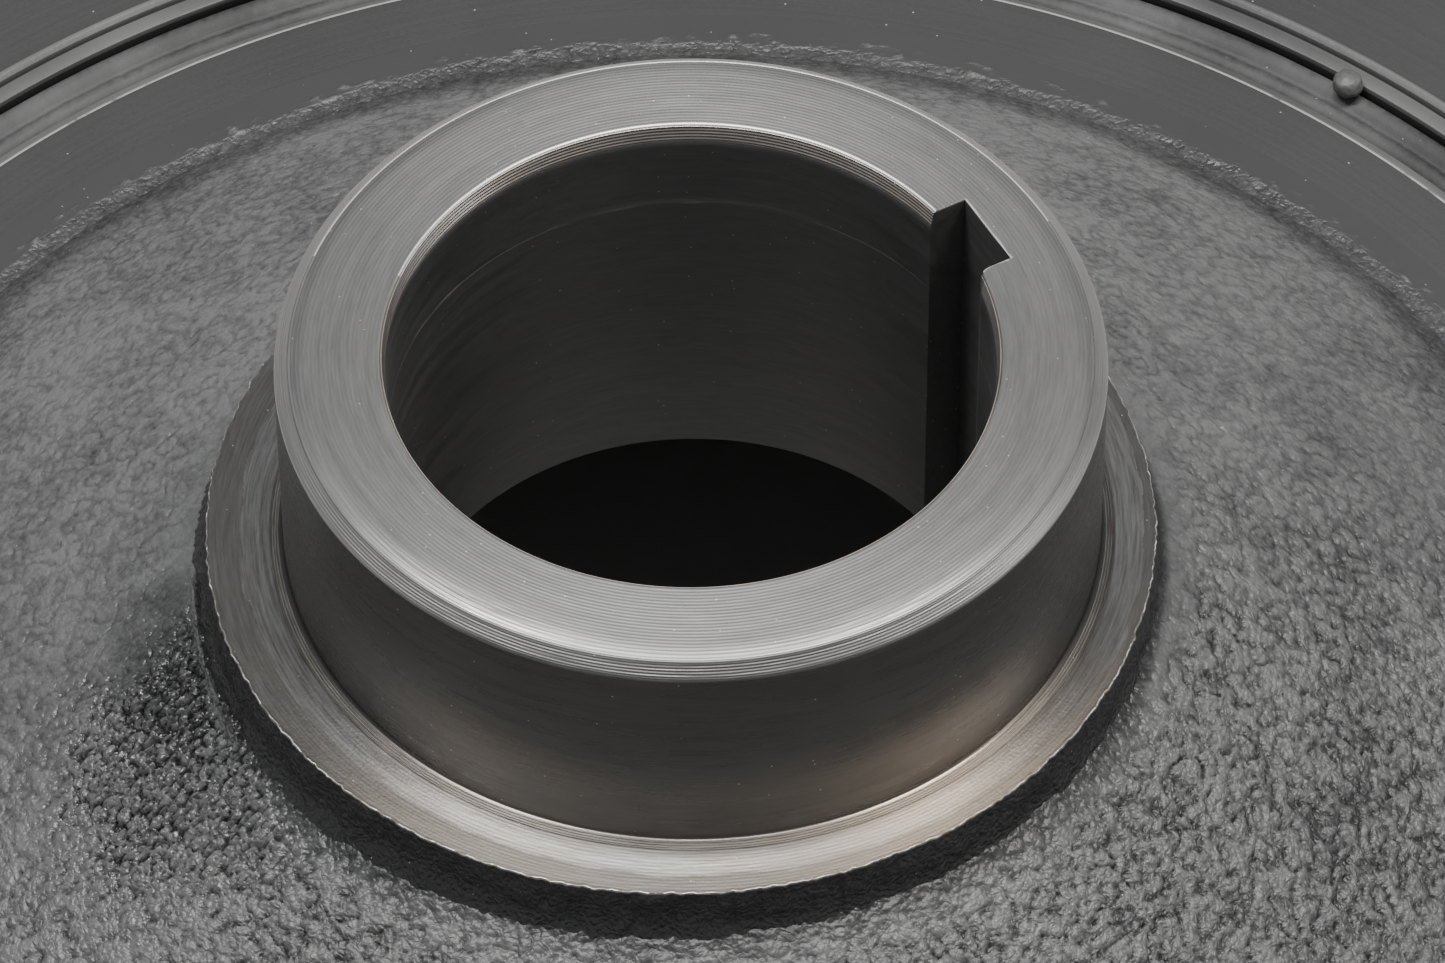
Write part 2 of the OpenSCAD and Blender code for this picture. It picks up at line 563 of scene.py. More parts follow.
def cast_paint(name, dark, light, rough):
    """Dark grey paint on a sand-cast skin, with painted shade in the creases and the painted light and
    shade that the points carry, and darker and glossy where oily.
    """
    material, tree, shader = new_material(name)
    faced, oil = attribute(tree, "faced"), attribute(tree, "oil")
    spot = place(tree)
    drift = add(tree, "TexNoise", {"Vector": spot, "Scale": 900.0, "Detail": 3.0}).outputs["Color"]
    push = add(tree, "VectorMath", {0: drift, 1: (0.0009,) * 3}, operation="MULTIPLY").outputs[0]
    moved = add(tree, "VectorMath", {0: spot, 1: push}, operation="ADD").outputs[0]
    grain = add(tree, "TexVoronoi", {"Vector": moved, "Scale": 3000.0}, feature="F1").outputs["Distance"]
    fine = noise(tree, 4200.0, 4.0, roughness=0.65)
    wave = math_node(tree, "SUBTRACT", noise(tree, 2200.0, 2.0, moved), 0.5)
    folds = add(tree, "Math", {0: wave}, operation="ABSOLUTE").outputs[0]
    cloud = noise(tree, 90.0, 5.0)

    # Painted shading from the points (shade in creases, shadow by the boss, side light), lifted by the
    # folds
    shade = math_node(tree, "ADD", attribute(tree, "relief"), times(tree, folds, 0.6))
    base = ramp(tree, shade, [(0.14, dark), (0.66, light)])
    worn = mix(tree, times(tree, cloud, 0.08), base, dark)
    flat = mix(tree, faced, worn, 0.039)
    oily = mix(tree, times(tree, oil, 0.20), flat, dark)
    dusty = mix(tree, specks(tree, 1500.0, 0.06), oily, 0.40)
    feed(tree, shader, "Base Color", dusty)

    low, high = rough
    matt = ramp(tree, cloud, [(0.3, low), (0.7, high)])
    gloss = math_node(tree, "SUBTRACT", matt, times(tree, oil, 0.25))
    roughness = math_node(tree, "ADD", gloss, times(tree, faced, 0.09))
    feed(tree, shader, "Roughness", roughness)
    shader.inputs["Specular IOR Level"].default_value = 0.7

    creased = math_node(tree, "SUBTRACT", times(tree, folds, 1.1), times(tree, grain, 0.7))
    height = math_node(tree, "ADD", times(tree, fine, 0.10), creased)
    cast = times(tree, attribute(tree, "grit"), rest_of(tree, faced))
    bumped(tree, shader, times(tree, height, cast), 0.17 * MM)
    return material


def flat_paint(name, dark, light, rough):
    """Satin grey paint over a turned face: faint rings, a fine grain, dust."""
    material, tree, shader = new_material(name)
    rings = noise(tree, 1.0, 3.0, ring_space(tree, 2600.0, 0.6), 0.6)
    grain = noise(tree, 3600.0, 3.0)
    cloud = noise(tree, 60.0, 3.0)
    shade = math_node(tree, "ADD", times(tree, rings, 0.4), cloud)
    base = ramp(tree, shade, [(0.45, dark), (0.95, light)])
    dusty = mix(tree, specks(tree, 900.0, 0.05), base, (0.40, 0.40, 0.39))
    feed(tree, shader, "Base Color", dusty)
    low, high = rough
    feed(tree, shader, "Roughness", ramp(tree, grain, [(0.3, low), (0.7, high)]))
    shader.inputs["Specular IOR Level"].default_value = 0.7
    first = bumped(tree, shader, grain, 0.012 * MM)
    bumped(tree, shader, rings, 0.02 * MM, first)
    return material


def worn_edge(name):
    """Bare bright iron on an edge, with paint left on in places."""
    material, tree, shader = new_material(name)
    patchy = noise(tree, 700.0, 4.0)
    bare = ramp(tree, patchy, [(0.30, 0.0), (0.46, 1.0)])
    colour = mix(tree, bare, 0.10, (0.60, 0.595, 0.58))
    feed(tree, shader, "Base Color", colour)
    feed(tree, shader, "Metallic", times(tree, bare, 0.4))
    shader.inputs["Roughness"].default_value = 0.45
    bumped(tree, shader, noise(tree, 2500.0), 0.02 * MM)
    return material


def rubber_skin(name):
    """Moulded rubber under a thin coat of dusty paint."""
    material, tree, shader = new_material(name)
    rings = noise(tree, 1.0, 2.0, ring_space(tree, 1500.0, 1.0), 0.6)
    grain = noise(tree, 1800.0, 4.0)
    cloud = noise(tree, 130.0, 4.0)
    shade = math_node(tree, "ADD", times(tree, grain, 0.5), cloud)
    base = ramp(tree, shade, [(0.5, 0.038), (1.0, 0.115)])
    dusty = mix(tree, specks(tree, 1300.0, 0.06), base, 0.35)
    feed(tree, shader, "Base Color", dusty)
    feed(tree, shader, "Roughness", ramp(tree, grain, [(0.3, 0.5), (0.7, 0.7)]))
    first = bumped(tree, shader, grain, 0.03 * MM)
    bumped(tree, shader, rings, 0.03 * MM, first)
    return material


BROWN = (0.52, 0.43, 0.28)

FACE = turned_metal(
    "hub_face", 0.25, 0.37, (0.42, 0.50), marks=0.06, warm=0.12, grain=0.34, stain=(0.42, 0.38, 0.26)
)
CHAMFER = turned_metal("hub_chamfer", 0.12, 0.26, (0.36, 0.46), warm=0.10)
LEAD_IN = turned_metal(
    "bore_lead_in", 0.40, 0.70, (0.34, 0.46), warm=0.5, grain=0.3, stain=(0.60, 0.42, 0.24)
)
SEAL = turned_metal("seal_surface", 0.14, 0.18, (0.24, 0.32), warm=0.10)
BORE = turned_metal("bore_surface", 0.24, 0.31, (0.48, 0.58), warm=0.10, grain=0.2)
BOSS_RING = turned_metal(
    "boss_ring", 0.17, 0.54, (0.36, 0.46), marks=0.04, grain=0.72, stain=BROWN, pits=0.007
)
# Near-white metal for painted highlights on edges
PAINTED_HIGHLIGHT = turned_metal("bright_edge", 0.85, 0.98, (0.40, 0.50), warm=0.1, grain=0.0)
BOSS_OUTER = turned_metal(
    "boss_ring_outer", 0.12, 0.27, (0.42, 0.52), marks=0.04, grain=0.60, stain=BROWN, pits=0.010
)
# Lighter metal for painted highlights on crests and burrs
CREST_HIGHLIGHT = turned_metal("bare_line", 0.10, 0.55, (0.40, 0.50), warm=0.30, grain=0.0, stain=(0.55, 0.45, 0.26))
KEYWAY = turned_metal("keyway_wall", 0.22, 0.30, (0.50, 0.60), warm=0.1)
CAST = cast_paint("cast_paint", 0.026, (0.178, 0.178, 0.177), (0.36, 0.46))
RIM_PAINT = flat_paint("rim_paint", 0.032, 0.046, (0.45, 0.55))
EDGE = worn_edge("worn_edge")
RUBBER = rubber_skin("rubber_skin")
SLEEVE = flat_paint("sleeve_paint", 0.055, (0.15, 0.15, 0.148), (0.45, 0.55))
# Near-black paint for painted shade in recesses and gaps
RECESS_SHADE = flat_paint("joint_dirt", 0.012, 0.03, (0.6, 0.7))


# ---- hub
HUB_MATERIALS = [FACE, CHAMFER, SEAL, LEAD_IN, BORE, BOSS_RING, PAINTED_HIGHLIGHT, KEYWAY, CREST_HIGHLIGHT]
ON_FACE, ON_CHAMFER, ON_SEAL, ON_LEAD_IN, ON_BORE, ON_BOSS_RING, ON_HIGHLIGHT, ON_KEYWAY, ON_CREST_HIGHLIGHT = range(9)

# Radius of the worn corner of the keyway's mouth, and points round the bore
MOUTH_ROUND = 0.9
BORE_POINTS = 296

# Where the lead-in and the faint witness line in the bore begin
LEAD_Z = HUB_TOP - 1.1
WITNESS_Z = HUB_TOP - 6.3

# Inner and outer radius of the end face, and the height of its outer edge
LIP_R = BORE_R + 0.35
FACE_R = SEAL_R - 0.86
FACE_EDGE_Z = HUB_TOP - 0.20

# Height of the seam between the meshes of the hub and of the boss
SEAM_Z = BOSS_Z + 0.06


def keyed_outline(radius):
    """Angles and radii of the bore with its keyway, and which of the points are in the keyway."""
    mouth = math.asin(KEY_HALF / radius)
    worn = mouth + MOUTH_ROUND / radius
    close = np.array([0.0, 0.003, 0.007, 0.013])
    turned = np.linspace(mouth + 0.02, TURN - worn - 0.02, BORE_POINTS)
    around = np.concatenate([mouth + close, turned, TURN - worn - close[::-1]])
    corner = np.array((KEY_HALF, math.sqrt(radius**2 - KEY_HALF**2)))
    inside = np.array((KEY_HALF, corner[1] + MOUTH_ROUND))
    outside = np.array((math.sin(worn), math.cos(worn))) * radius
    points = [(-radius * math.sin(a), radius * math.cos(a)) for a in around]
    for t in np.linspace(0, 1, 9)[1:]:
        points.append(tuple(outside * (1 - t) ** 2 + 2 * corner * t * (1 - t) + inside * t * t))
    points += [(KEY_HALF, y) for y in (KEY_FLOOR - 0.25, KEY_FLOOR)]
    points += [(x, KEY_FLOOR) for x in np.linspace(KEY_HALF, -KEY_HALF, 13)[1:-1]]
    points += [(-KEY_HALF, y) for y in np.linspace(KEY_FLOOR, corner[1], 9)[:-1]]
    points = np.array(points)
    theta = np.unwrap(np.arctan2(points[:, 1], points[:, 0]))
    return theta, np.hypot(points[:, 0], points[:, 1]), np.arange(len(points)) >= len(around)


def painted_warm_highlight(points):
    """How much painted warm highlight colour shows at points of the root and the boss ring, from 0 to 0.5:
    most at the near right, less at the near left.
    """
    right, away = seen_at(points)
    angle = np.degrees(np.arctan2(away, right))
    return 0.5 * bell(angle, -55, 26) + 0.2 * bell(angle, -118, 24)


class HubShell(Shell):
    """The hub's shell. It knows the keyway's outline and keeps, for each point, how much bright burr and
    painted highlight it has.
    """

    def __init__(self):
        super().__init__()
        self.theta, self.keyed, self.in_key = keyed_outline(BORE_R)
        self.spots = on_circle(BORE_R, self.theta)
        right, self.away = seen_at(self.spots)
        self.view = np.degrees(np.arctan2(self.away, right))
        self.far_highlight_side = (self.view > 25) & (self.view < 160)
        self.glow = []

    def turn(self, r, z, slot, glow=0.0):
        self.ring(r, z, self.theta, slot)
        self.glow.append(np.broadcast_to(glow, self.theta.shape))

    def inner(self, r, step=0):
        """The keyed outline, or a circle of radius r where that is larger."""
        return np.where(self.in_key, np.maximum(self.keyed + 0.0015 * step, r), r)

    def walled(self, slot):
        """slot, but the keyway's own material on its walls."""
        return np.where(self.in_key, ON_KEYWAY, slot)


def bore_rings(shell):
    """The bore up to its lead-in, with the witness line broken in places."""
    radius, slot = shell.inner(BORE_R), shell.walled(ON_BORE)
    for z in [*np.linspace(SEAT_Z, WITNESS_Z, 16), WITNESS_Z + 0.05, WITNESS_Z + 0.10]:
        shell.turn(radius, z, slot)
    broken = 0.25 * smooth_step(fbm(shell.spots, 2.5, 3, 88), -0.2, 0.5)
    for z, depth in ((0.12, 0.02), (0.17, 0.03), (0.22, 0.02)):
        shell.turn(shell.inner(BORE_R + depth), WITNESS_Z + z, slot, broken)
    for z in np.linspace(WITNESS_Z + 0.3, LEAD_Z, 10)[:-1]:
        shell.turn(radius, z, slot)


def lead_in_rings(shell):
    """The lead-in with the tool's ridges in it, and the lip at the end face, with a painted highlight on
    the lip at the far side.
    """
    ridges, steps = 5, 35
    for k in range(steps):
        t = k / steps
        wave = 0.034 * math.sin(TURN * ridges * t)
        shell.turn(shell.inner(BORE_R + 0.20 * t + wave), LEAD_Z + t, shell.walled(ON_LEAD_IN))
    # Painted highlight on the lip at the far side
    slot = shell.walled(np.where(shell.far_highlight_side, ON_HIGHLIGHT, ON_LEAD_IN))
    for out, down in ((0.22, 0.13), (0.235, 0.10), (0.265, 0.065), (0.305, 0.040)):
        shell.turn(shell.inner(BORE_R + out), HUB_TOP - down, slot, 1.0 * shell.far_highlight_side)


def face_rings(shell):
    """The end face: fine tool marks, a burr along the keyway and a painted highlight in streaks along its
    outer edge at the near left and near right.
    """
    marks_height = 0.013 * (0.45 + 0.55 * np.abs(np.sin(np.radians(shell.view))))
    ragged = 0.5 + 0.5 * fbm(shell.spots, 0.9, 2, 83)
    # Painted highlight along the outer edge at the near left and near right, broken into streaks
    edge_highlight = 0.9 * (bell(shell.view, -122, 17) + 0.7 * bell(shell.view, -62, 14))
    rings_per_feed = 6
    loops = rings_per_feed * round((FACE_R - LIP_R) / TOOL_PITCH)
    for k in range(loops + 1):
        r = shell.inner(LIP_R + (FACE_R - LIP_R) * k / loops, k)
        mark = np.where(r > shell.keyed + 0.2, tool_marks(r, marks_height), 0.0)
        roll = np.maximum(0.0, r - FACE_R + 1.0)
        crown = 0.05 * smooth_step(r, LIP_R + 1, FACE_R) + 0.13 * roll * roll
        burr = 1 - smooth_step(r - shell.keyed, 0.01 + 0.07 * ragged, 0.04 + 0.18 * ragged)
        highlight_breakup = smooth_step(fbm(shell.spots + 7.0 * k / 6, 2.6, 3, 85), -0.25, 0.4)
        edge_highlight_here = edge_highlight * highlight_breakup * smooth_step(r, FACE_R - 2.0, FACE_R - 0.2)
        glow = np.maximum(np.where(shell.in_key, burr, 0.0), edge_highlight_here)
        shell.turn(r, HUB_TOP - 0.016 + mark - crown, ON_FACE, glow)
    # Painted highlight on the outer edge at the far side
    slot = np.where(shell.far_highlight_side, ON_HIGHLIGHT, ON_FACE)
    for back, up in ((0.82, 0.015), (0.79, 0.025), (0.76, 0.015), (0.73, -0.015), (0.71, -0.045)):
        shell.turn(SEAL_R - back, FACE_EDGE_Z + up, slot)


def chamfer_rings(shell):
    """The chamfer round the end face, with uneven ridges from the tool and a painted sheen on its sides and
    far part.
    """
    painted_sheen = 0.55 * smooth_step(shell.away, -17.0, -4.0)
    start, end = (SEAL_R - 0.70, FACE_EDGE_Z - 0.06), (SEAL_R - 0.05, HUB_TOP - 0.76)
    ridges, steps = 5, 30
    for k, (r, z) in enumerate(line(start, end, steps)):
        t = k / steps
        uneven = 0.006 + 0.006 * fbm(shell.spots + t * 5, 1.3, 3, 84)
        ridge = uneven * math.sin(TURN * ridges * t)
        shell.turn(r + 0.6 * ridge, z + 0.8 * ridge, ON_CHAMFER, painted_sheen)
    for r, z in (end, (SEAL_R - 0.01, HUB_TOP - 0.82), (SEAL_R, HUB_TOP - 0.92)):
        shell.turn(r, z, ON_CHAMFER, painted_sheen)


def seal_rings(shell):
    """The oil-seal surface and the small radius at its foot."""
    for r, z in line((SEAL_R, HUB_TOP - 1.0), (SEAL_R, BOSS_Z + 0.42), 12):
        shell.turn(r, z, ON_SEAL)
    for r, z in arc(SEAL_R + 0.22, BOSS_Z + 0.40, 0.22, 180, 262, 5):
        shell.turn(r, z, ON_SEAL)


def root_rings(shell):
    """The turned ridges round the foot of the seal surface, out to the seam with the boss: painted
    highlight on their crests, painted shade in their hollows.
    """
    ridges, steps = 3.2, 32
    for k in range(steps):
        t = k / steps
        ridge = math.sin(TURN * ridges * t)
        slot = ON_CREST_HIGHLIGHT if ridge > 0.5 else ON_CHAMFER if ridge < -0.6 else ON_BOSS_RING
        shell.turn(SEAL_R + 0.26 + 0.48 * t, BOSS_Z + 0.17 - 0.10 * t + 0.030 * ridge, slot)
    shell.turn(SEAM_R, SEAM_Z, ON_BOSS_RING)
    shell.turn(SEAM_R, SEAT_Z + 4, ON_BOSS_RING)


def seat_rings(shell):
    """The end of the front boss and the bolt seat in its recess."""
    front = SEAT_Z - FRONT_BOSS_H
    for r, z in ((25.0, front + 0.5), (25.0, front), (WASHER_R + 0.4, front), (WASHER_R, front + 0.2)):
        shell.turn(r, z, ON_CHAMFER)
    shell.turn(WASHER_R, SEAT_Z, ON_CHAMFER)
    shell.turn(BORE_R + 2.3, SEAT_Z, ON_CHAMFER)


def hub_piece():
    shell = HubShell()
    for rings in (bore_rings, lead_in_rings, face_rings, chamfer_rings, seal_rings, root_rings, seat_rings):
        rings(shell)
    piece = shell.build("hub_casting_hub", HUB_MATERIALS, 50)
    store(piece, "glow", np.concatenate(shell.glow))
    points = shell.points()
    store(piece, "tint", painted_warm_highlight(points) * (points[:, 2] < BOSS_Z + 0.3))
    return piece


# ---- cast boss and web
BOSS_MATERIALS = [BOSS_RING, CAST, PAINTED_HIGHLIGHT, CREST_HIGHLIGHT, BOSS_OUTER]
ON_INNER, ON_CAST, ON_HIGHLIT_BURR, ON_BURR, ON_OUTER = range(5)

# Height of the turned face of the boss, and the underside of its mesh inside the web
BOSS_FACE_Z = BOSS_Z - 0.02
BOSS_UNDER_Z = BOSS_Z - 6.0


def boss_edge(theta):
    """Radius of the cast boss at the plane where its face was turned."""
    around = on_circle(BOSS_R, theta)
    rough = 0.05 * fbm(around, 3.5, 2, 61) + 0.09 * fbm(around, 0.55, 2, 62)
    return BOSS_R + BOSS_SHIFT * np.cos(theta - BOSS_SHIFT_AZ) + rough


def boss_face_rings(shell, theta):
    """The turned face, in circles that stop just inside the wavy edge."""
    edge = boss_edge(theta)
    shell.ring(SEAM_R, SEAM_Z, theta, ON_INNER)
    begin = SEAM_R + 0.06
    steps = 72
    mottle = 0.25 * fbm(on_circle(BOSS_R, theta), 3.0, 3, 69)
    for k in range(steps):
        plain_r = begin + (BOSS_R + 0.5 - begin) * k / steps
        r = np.minimum(plain_r, edge - 0.22 + 0.0015 * (k - steps))
        rise = 0.10 * (1 - smooth_step(r, begin + 0.1, begin + 1.6))
        scratch = 0.004 * fbm(np.stack([r, 3 * theta, 0 * r], 1), 0.12, 2, 67)
        slot = np.where(r + mottle > 24.9, ON_OUTER, ON_INNER) if k < steps - 1 else ON_OUTER
        shell.ring(r, BOSS_FACE_Z + rise + tool_marks(r, 0.006) + scratch, theta, slot)


def boss_burr_rings(shell, theta, edge):
    """The burr that the tool pushed up at the edge, with painted highlights in patches, most of them at the
    near side.
    """
    spots = on_circle(BOSS_R, theta)
    burr = 0.02 + 0.035 * fbm(spots, 0.8, 2, 66)
    highlit = fbm(spots, 0.7, 2, 68) + 0.6 * np.sin(theta - VIEW_TURN) < -0.3
    shell.ring(edge - 0.20, BOSS_FACE_Z, theta, ON_OUTER)
    shell.ring(edge - 0.06, BOSS_Z + burr, theta, np.where(highlit, ON_HIGHLIT_BURR, ON_BURR))
    shell.ring(edge - 0.01, BOSS_Z + burr * 0.5, theta, ON_BURR)
    shell.ring(edge + 0.02, BOSS_Z - 0.10, theta, ON_CAST)


def boss_wall_rings(shell, theta, edge):
    """The cast wall of the boss, which flares out into the web."""
    for d in (0.3, 0.6, 0.9, 1.25, 1.6, 1.95, 2.3, 2.6, 2.9, 3.2, 3.6, 4.2):
        r = edge + 0.10 * d + 1.9 * max(0.0, d / 3.4 - 0.55) ** 2
        p = on_circle(r, theta, BOSS_Z - d)
        skin = 0.117 * fbm(p, 2.2, 3, 63) + 0.05 * fbm(p, 0.6, 2, 64)
        shell.ring(r + min(1.0, d / 0.6) * skin, BOSS_Z - d, theta, ON_CAST)


def boss_piece():
    coarse, fine = even(720), even(2160)
    edge = boss_edge(fine)
    shell = Shell()
    boss_face_rings(shell, coarse)
    boss_burr_rings(shell, fine, edge)
    boss_wall_rings(shell, fine, edge)
    shell.path([(27.0, BOSS_UNDER_Z), (24.0, BOSS_UNDER_Z)], coarse, ON_CAST)
    piece = shell.build("hub_casting_boss", BOSS_MATERIALS, 60)
    store(piece, "tint", painted_warm_highlight(shell.points()))
    # Dark painted shade on the cast wall of the boss
    store(piece, "relief", np.full(len(piece.data.vertices), 0.05))
    store(piece, "grit", np.full(len(piece.data.vertices), 0.7))
    return piece


def web_rear(r):
    return REAR_Z + (WEB_END_R - r) * WEB_SLOPE


CAST_MATERIALS = [CAST, RIM_PAINT, EDGE]
ON_SKIN, ON_PAINT, ON_EDGE = range(3)

# Radii at which the rear of the web is cut into pieces, and rings and points round in each
WEB_BANDS = [
    ("hub_casting_web_a", 25.2, 30.4, 66, 1440),
    ("hub_casting_web_b", 30.4, 36.0, 62, 1500),
    ("hub_casting_web_c", 36.0, 42.4, 62, 1500),
    ("hub_casting_web_d", 42.4, 49.0, 60, 1500),
]
RIM_SPLIT_R = WEB_BANDS[-1][2]

# How deep the hidden undersides lie, and how far out and in that of the bowl goes
WEB_UNDER = 3.0
FRONT_SPLIT_R = 58.0
FRONT_UNDER_R = 39.0

# The faced band: its height, where the row of left skin lies, and the edge of the rim
BAND_Z = REAR_Z + 0.003
LUMPS_R = 54.5
RIM_EDGE = 0.32


class CastShell(Shell):
    """A shell that keeps what the paint's material has to know about the skin at each point."""

    def __init__(self):
        super().__init__()
        self.known = {"relief": [], "faced": [], "oil": [], "grit": []}

    def ring(self, r, z, theta, slot, relief=0.5, faced=0.0, oil=0.0, grit=0.6):
        super().ring(r, z, theta, slot)
        for values, value in zip(self.known.values(), (relief, faced, oil, grit)):
            values.append(np.broadcast_to(value, theta.shape))

    def skin(self, r, z, theta, amount, shade=1.0, limit=math.inf, left=0.0):
        """A ring whose height follows the cast skin, cut off at limit but for what is left. Its painted
        shading is darker in the skin's hollows, scaled by shade, and lightest on the lumps left standing:
        painted shade and painted highlight.
        """
        p = on_circle(r, theta, z)
        h = cast_skin(p)
        height = np.minimum(z + amount * h, limit)
        relief = np.clip(shade * (0.45 + 2.4 * h) + 3.5 * left, 0, 1)
        faced = (height >= limit - 0.002) * (1 - smooth_step(left, 0.0, 0.03))
        self.ring(r, height + left, theta, ON_SKIN, relief, faced, oiliness(p), skin_amount(p))

    def build(self, name, sharp):
        piece = super().build(name, CAST_MATERIALS, sharp)
        for attribute_name, values in self.known.items():
            store(piece, attribute_name, np.concatenate(values))
        return piece


def painted_side_light(p):
    """Painted light and shade at points p: lighter at the near side and a little at the far side, darker at
    the right, as the light falls.
    """
    right, away = seen_at(p)
    near = 0.38 * smooth_step(-away, 20, 34)
    far = 0.12 * smooth_step(away - 0.4 * right, 8, 26)
    return 1 + near + far - 0.14 * smooth_step(right - 0.3 * away, 26, 40)


def web_band_piece(name, inner_r, outer_r, loops, around):
    """Part of the rear of the web between two radii, with its hidden underside."""
    theta, plain = even(around), even(around // 4)
    shell = CastShell()
    shell.ring(inner_r, web_rear(inner_r) - WEB_UNDER, plain, ON_SKIN)
    for r in np.linspace(inner_r, outer_r, loops):
        spots = on_circle(r, theta)
        away = seen_at(spots)[1]
        # Painted shadow at the foot of the boss, reaching furthest on the near side, with painted side
        # light and a darker oily patch.
        clear_of_painted_shadow = smooth_step(past_boss(spots), 0.4, 1.1 + 1.3 * smooth_step(-away, 5, 20))
        shade = (0.15 + 0.85 * clear_of_painted_shadow) * painted_side_light(spots) * (1 - 0.55 * soaked(spots))
        shell.skin(r, web_rear(r), theta, 1.0, shade)
    shell.ring(outer_r, web_rear(outer_r) - WEB_UNDER, plain, ON_SKIN)
    return shell.build(name, 50)


def left_lumps(r, theta):
    """Long lumps of skin in a row, left where the facing tool just missed them."""
    along = np.stack([r / 0.40 + 0 * theta, theta * WEB_END_R / 0.9, 0 * theta], 1)
    here = smooth_step(gradient_noise(along * (0.3, 0.22, 1.0), 89), -0.35, 0.35)
    return 0.11 * bell(r, LUMPS_R, 0.5) * here * smooth_step(gradient_noise(along, 87), 0.05, 0.7)


def rim_piece():
    """The end of the web, where the facing tool has cut into the cast skin, and the rim."""
    theta, plain = even(1320), even(330)
    shell = CastShell()
    shell.ring(RIM_SPLIT_R, web_rear(RIM_SPLIT_R) - WEB_UNDER, plain, ON_SKIN)
    for r in np.linspace(RIM_SPLIT_R, WEB_END_R - 0.15, 38):
        # Painted shade deepens towards the web's end, in the soft hollow before the faced band, and the
        # skin left on the band is painted darker too
        fade = smooth_step(r, 50.0, 52.5)
        shell.skin(r, web_rear(r), theta, 1 - 0.5 * fade, (1 - 0.55 * fade) * painted_side_light(on_circle(r, theta)))
    for r in np.linspace(WEB_END_R, 55.9, 30):
        z = REAR_Z - 0.06 + 0.35 * smooth_step(r, 53.6, 56.2)
        shell.skin(r, z, theta, 0.5, 0.40, BAND_Z, left_lumps(r, theta))
    shell.ring(56.4, BAND_Z, theta, ON_PAINT, faced=1.0)
    edge_r, edge_z = RIM_R - RIM_EDGE, REAR_Z - RIM_EDGE
    for r, z in line((56.9, REAR_Z), (edge_r, REAR_Z), 10):
        shell.ring(r, z + 0.004 * np.sin(r * 9.0), plain, ON_PAINT)
    shell.ring(edge_r, REAR_Z - 0.01, plain, ON_EDGE)
    shell.path(arc(edge_r, edge_z, RIM_EDGE, 70, 0, 4), plain, ON_EDGE)
    side = [(RIM_R, REAR_Z - 0.8), (RIM_R, HUB_FRONT + 0.3), (RIM_R - 0.3, HUB_FRONT)]
    shell.path(side + [(FRONT_SPLIT_R, HUB_FRONT), (FRONT_SPLIT_R, REAR_Z - 6)], plain, ON_PAINT)
    return shell.build("hub_casting_rim", 50)


def front_web_piece():
    """The side away from the engine: bowl, front of the web and the side of the front boss."""
    theta, plain = even(520), even(260)
    steep = math.radians(90 - WEB_ANGLE)
    shell = CastShell()
    lip_r = FRONT_SPLIT_R - 0.1
    lip = [(lip_r, HUB_FRONT), (BOWL_R + 0.4, HUB_FRONT), (BOWL_R, HUB_FRONT + 0.3)]
    shell.path(lip, plain, ON_PAINT)

    corner = web_rear(BOWL_WALL_R) - WEB_T
    centre = (BOWL_WALL_R - BOWL_FILLET, corner - BOWL_FILLET * WEB_SLOPE)
    for r, z in line((BOWL_R - 0.05, HUB_FRONT + 1.2), (BOWL_WALL_R, centre[1]), 30):
        p = on_circle(r, theta, z)
        h = cast_skin(p[:, [0, 2, 1]] + p[:, [1, 0, 2]])
        # Painted shade in the hollows of the skin on the bowl's wall
        shell.ring(r - 0.8 * h, z, theta, ON_SKIN, np.clip(0.5 + 1.7 * h, 0, 1))
    for r, z in arc(*centre, BOWL_FILLET, 0, 60, 10):
        shell.skin(r, z, theta, -0.8)

    foot_r = FRONT_BOSS_R + FRONT_BOSS_FILLET
    foot_z = web_rear(FRONT_BOSS_R) - WEB_T - FRONT_BOSS_FILLET * math.tan(steep)
    for r in np.linspace(centre[0] + BOWL_FILLET * math.cos(steep) - 0.4, 28.9, 56):
        shell.skin(r, web_rear(r) - WEB_T, theta, -0.9)
    for r, z in arc(foot_r, foot_z, FRONT_BOSS_FILLET, 70, 175, 7):
        shell.skin(r, z, theta, -0.4)

    shell.path([(FRONT_BOSS_R, SEAT_Z - 2.0), (25.0, SEAT_Z - FRONT_BOSS_H)], plain, ON_PAINT)
    shell.path([(24.4, SEAT_Z + 2), (26.5, web_rear(26.5) - 5)], plain, ON_PAINT)
    shell.path([(FRONT_UNDER_R, web_rear(FRONT_UNDER_R) - 4.5), (lip_r, REAR_Z - 5)], plain, ON_PAINT)
    return shell.build("hub_casting_web_front", None)


casting = [hub_piece(), boss_piece()]
casting += [web_band_piece(*band) for band in WEB_BANDS]
casting += [rim_piece(), front_web_piece()]
for piece in casting:
    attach(piece, "hub")
    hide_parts("hub_casting")


# ---- damper
def sleeve_piece(name, node, inner_r, outer_r):
    """A thin steel sleeve with rounded edges, with painted shade on its inner wall and painted elsewhere.
    """
    low, high = bottom(node), top(node)
    edge, bevel = 0.12, 0.036
    painted, shaded = range(2)
    theta = even(540)
    shell = Shell()
    shell.ring(inner_r, low + edge, theta, shaded)
    inside = [(inner_r, high - 0.35), (inner_r, high - edge), (inner_r + bevel, high - bevel)]
    end = [(inner_r + edge, high), ((inner_r + outer_r) / 2, high - 0.02), (outer_r - edge, high)]
    outside = [(outer_r - bevel, high - bevel), (outer_r, high - edge), (outer_r, low + edge)]
    shell.path(inside + end + outside + [(outer_r - edge, low), (inner_r + edge, low)], theta, painted)
    return shell.build(name, [SLEEVE, RECESS_SHADE], 35)


inner_sleeve = sleeve_piece("inner_sleeve_visual", "inner_sleeve", RIM_R, INNER_SLEEVE_R)
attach(inner_sleeve, "hub")
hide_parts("inner_sleeve")

